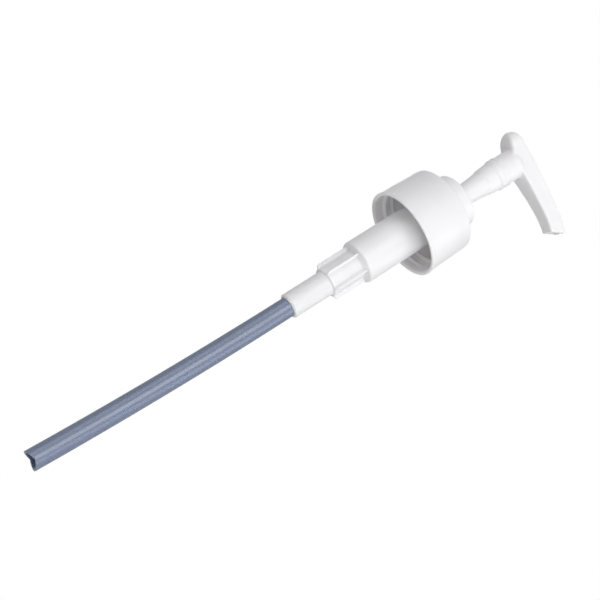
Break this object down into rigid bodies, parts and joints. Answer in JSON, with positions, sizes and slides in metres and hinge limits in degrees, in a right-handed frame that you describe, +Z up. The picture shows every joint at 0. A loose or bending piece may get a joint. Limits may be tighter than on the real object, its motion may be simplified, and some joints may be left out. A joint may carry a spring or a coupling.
{
  "type": "screw-on hand pump dispenser",
  "caption": "Push-head bottle pump with a drooping spout, lock collar, screw closure, sprung plunger, ball valves and a dip tube.",
  "frame": {"origin": "on the pump's axis, in the gasket's lower face, where the rim of the bottle seals", "axes": "+Z up the pump towards the head, +X towards the spout"},
  "size_m": [0.0617, 0.0422, 0.2677],
  "materials": {
    "white_plastic": "injection moulded white polypropylene, satin",
    "natural_plastic": "natural uncoloured polyethylene, cloudy",
    "tube_plastic": "extruded translucent grey polyethylene",
    "gasket_foam": "die-cut closed-cell foam",
    "spring_steel": "drawn stainless wire",
    "ball_steel": "ground stainless"
  },
  "bodies": {
    "pump_body": {"housing": "white_plastic", "collar": "white_plastic", "gasket": "gasket_foam", "ball_cage": "natural_plastic", "dip_tube": "tube_plastic", "spring": "spring_steel"},
    "closure_ring": {"closure": "white_plastic"},
    "plunger": {"stem": "white_plastic", "valve_pin": "natural_plastic"},
    "head": {"actuator": "white_plastic"},
    "piston_seal": {"piston": "natural_plastic"},
    "outlet_valve": {"outlet_ball": "ball_steel"},
    "inlet_valve": {"inlet_ball": "ball_steel"}
  },
  "joints": [
    {"name": "press", "type": "slide", "parent": "pump_body", "child": "plunger", "axis": [0, 0, -1], "range_m": [0, 0.022], "stiffness_N_per_m": 700, "springref_m": -0.012, "deforming": ["spring"]},
    {"name": "head_turn", "type": "hinge", "parent": "plunger", "child": "head", "pos_m": [0, 0, 0.03], "axis": [0, 0, 1], "continuous": true},
    {"name": "closure_turn", "type": "hinge", "parent": "pump_body", "child": "closure_ring", "pos_m": [0, 0, 0], "axis": [0, 0, 1], "continuous": true},
    {"name": "piston_slip", "type": "slide", "parent": "plunger", "child": "piston_seal", "axis": [0, 0, 1], "range_m": [0, 0.00125]},
    {"name": "outlet_lift", "type": "slide", "parent": "plunger", "child": "outlet_valve", "axis": [0, 0, 1], "range_m": [0, 0.0034]},
    {"name": "inlet_lift", "type": "slide", "parent": "pump_body", "child": "inlet_valve", "axis": [0, 0, 1], "range_m": [0, 0.0024]}
  ]
}
